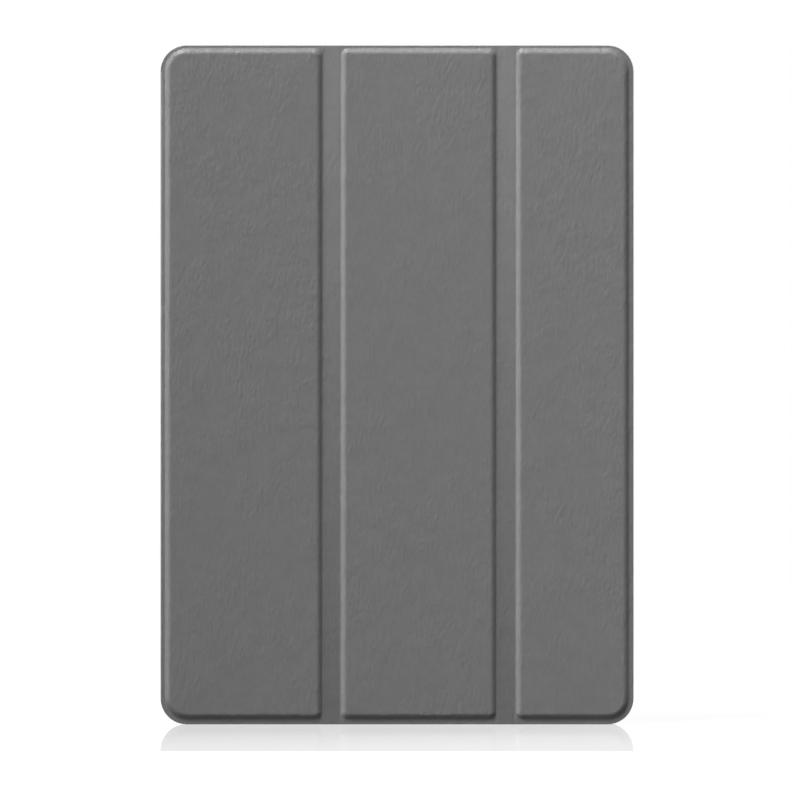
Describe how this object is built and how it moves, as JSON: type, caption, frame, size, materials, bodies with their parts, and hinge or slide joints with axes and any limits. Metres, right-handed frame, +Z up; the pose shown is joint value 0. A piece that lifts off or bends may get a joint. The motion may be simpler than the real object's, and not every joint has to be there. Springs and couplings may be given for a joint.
{
  "type": "tablet case",
  "caption": "Tri-fold folio tablet case: snap-in tray with a hinged cover of raised leather panels that fold into a stand.",
  "frame": {"origin": "centre of the closed case's bounding box at its bottom edge, where it stands", "axes": "+X across the case away from the spine, +Y towards the back, +Z up along the spine"},
  "size_m": [0.1786, 0.0132, 0.2563],
  "materials": {
    "leather": "fine embossed grain, satin",
    "lining": "short microfibre nap",
    "board": "plain grey-brown board",
    "tray_plastic": "fine matte texture",
    "keeper_steel": "plain rolled",
    "magnet_plating": "nickel plated"
  },
  "bodies": {
    "tray": {"back_shell": "tray_plastic", "back_leather": "leather", "back_crease_leather": "leather", "back_crease_lining": "lining"},
    "spine": {"spine_leather": "leather", "spine_stiffener": "board", "spine_lining": "lining", "front_crease_leather": "leather", "front_crease_lining": "lining"},
    "panel_1": {"panel_1_leather": "leather", "panel_1_board": "board", "panel_1_lining": "lining", "panel_1_keepers": "keeper_steel", "fold_1_leather": "leather", "fold_1_lining": "lining"},
    "panel_2": {"panel_2_leather": "leather", "panel_2_board": "board", "panel_2_lining": "lining", "fold_2_leather": "leather", "fold_2_lining": "lining"},
    "panel_3": {"panel_3_leather": "leather", "panel_3_board": "board", "panel_3_lining": "lining", "closure_magnets": "magnet_plating", "wake_magnet": "magnet_plating"}
  },
  "joints": [
    {"name": "back_crease", "type": "hinge", "parent": "tray", "child": "spine", "pos_m": [-0.0886, 0.0062, 0.12815], "axis": [0, 0, -1], "range_deg": [0, 90], "deforming": ["back_crease_leather", "back_crease_lining"]},
    {"name": "front_crease", "type": "hinge", "parent": "spine", "child": "panel_1", "pos_m": [-0.0886, -0.00485, 0.12815], "axis": [0, 0, -1], "range_deg": [0, 135], "deforming": ["front_crease_leather", "front_crease_lining"]},
    {"name": "fold_1", "type": "hinge", "parent": "panel_1", "child": "panel_2", "pos_m": [-0.0247, -0.00485, 0.12815], "axis": [0, 0, -1], "range_deg": [0, 130], "deforming": ["fold_1_leather", "fold_1_lining"]},
    {"name": "fold_2", "type": "hinge", "parent": "panel_2", "child": "panel_3", "pos_m": [0.0412, -0.00485, 0.12815], "axis": [0, 0, -1], "range_deg": [0, 100], "deforming": ["fold_2_leather", "fold_2_lining"]}
  ]
}
